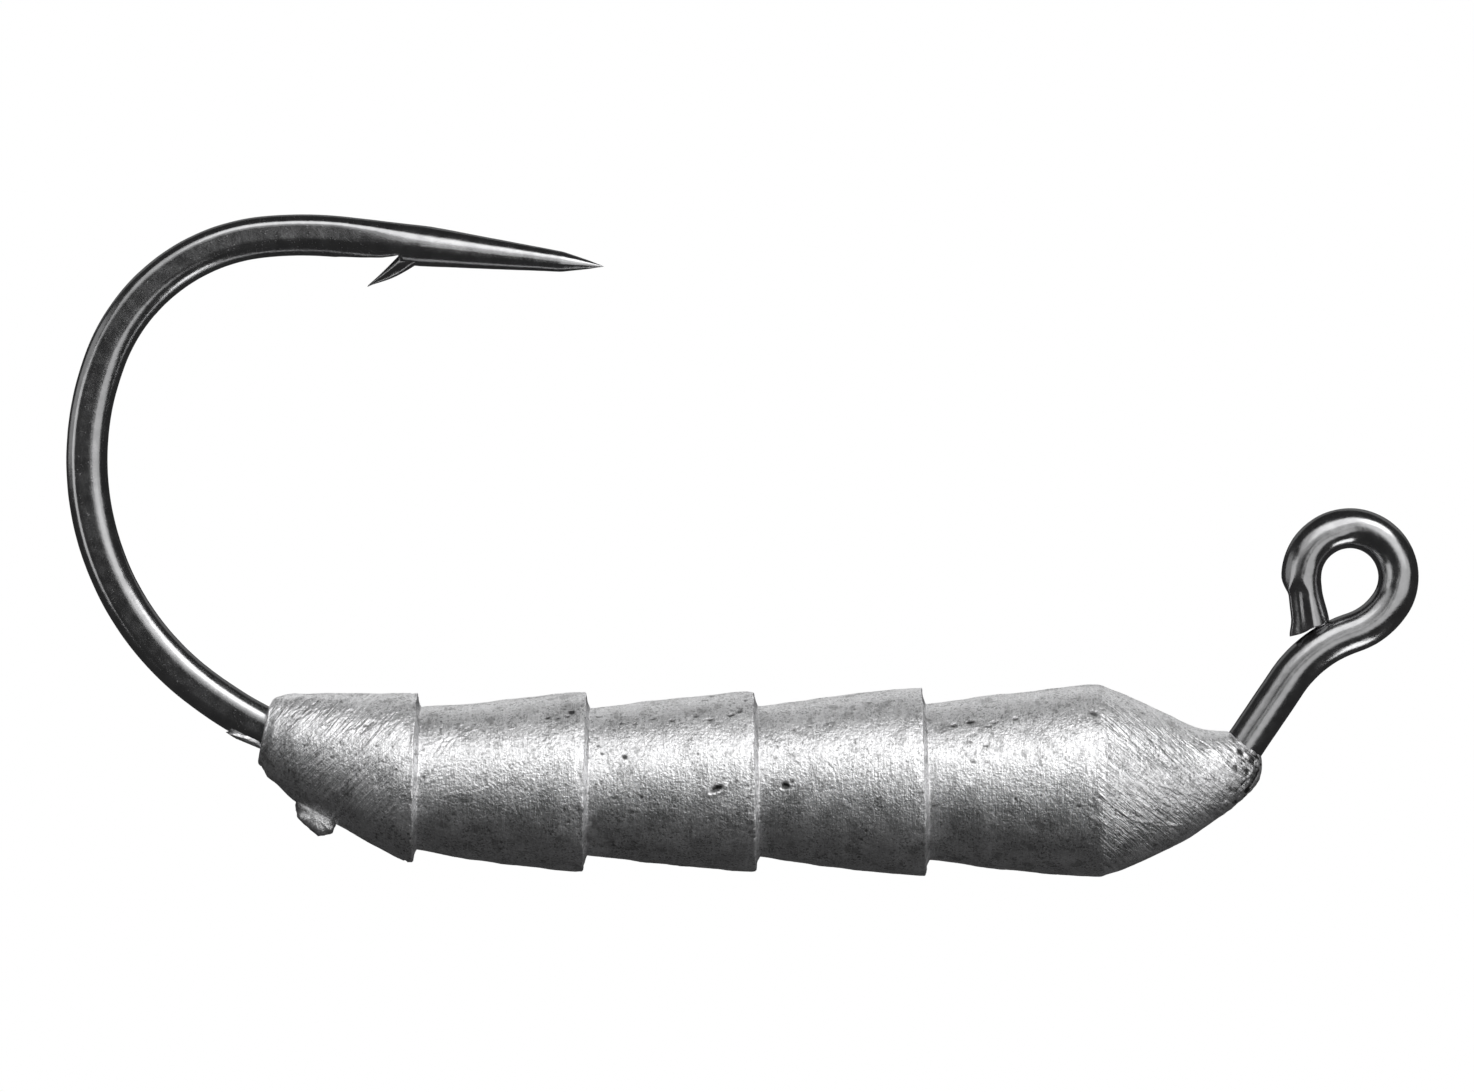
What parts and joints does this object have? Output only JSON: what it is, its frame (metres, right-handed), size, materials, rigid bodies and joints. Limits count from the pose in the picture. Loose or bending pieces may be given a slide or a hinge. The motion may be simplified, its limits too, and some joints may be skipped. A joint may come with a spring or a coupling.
{
  "type": "jig head",
  "caption": "Bare lead jig head cast round a forged hook: ribbed bait-keeper barrel with a conical nose, upturned open line eye, wide bend and barbed point.",
  "frame": {"origin": "centre of the line eye's hole, in the plane of the bend", "axes": "+X along the shank from the bend towards the line eye, +Z from the lead body towards the hook's point, +Y square to the plane of the bend"},
  "size_m": [0.0451, 0.0064, 0.0221],
  "materials": {
    "hook_wire": "gloss",
    "cast_lead": "satin"
  },
  "bodies": {
    "root": {"hook": "hook_wire", "lead_body": "cast_lead"}
  },
  "joints": []
}
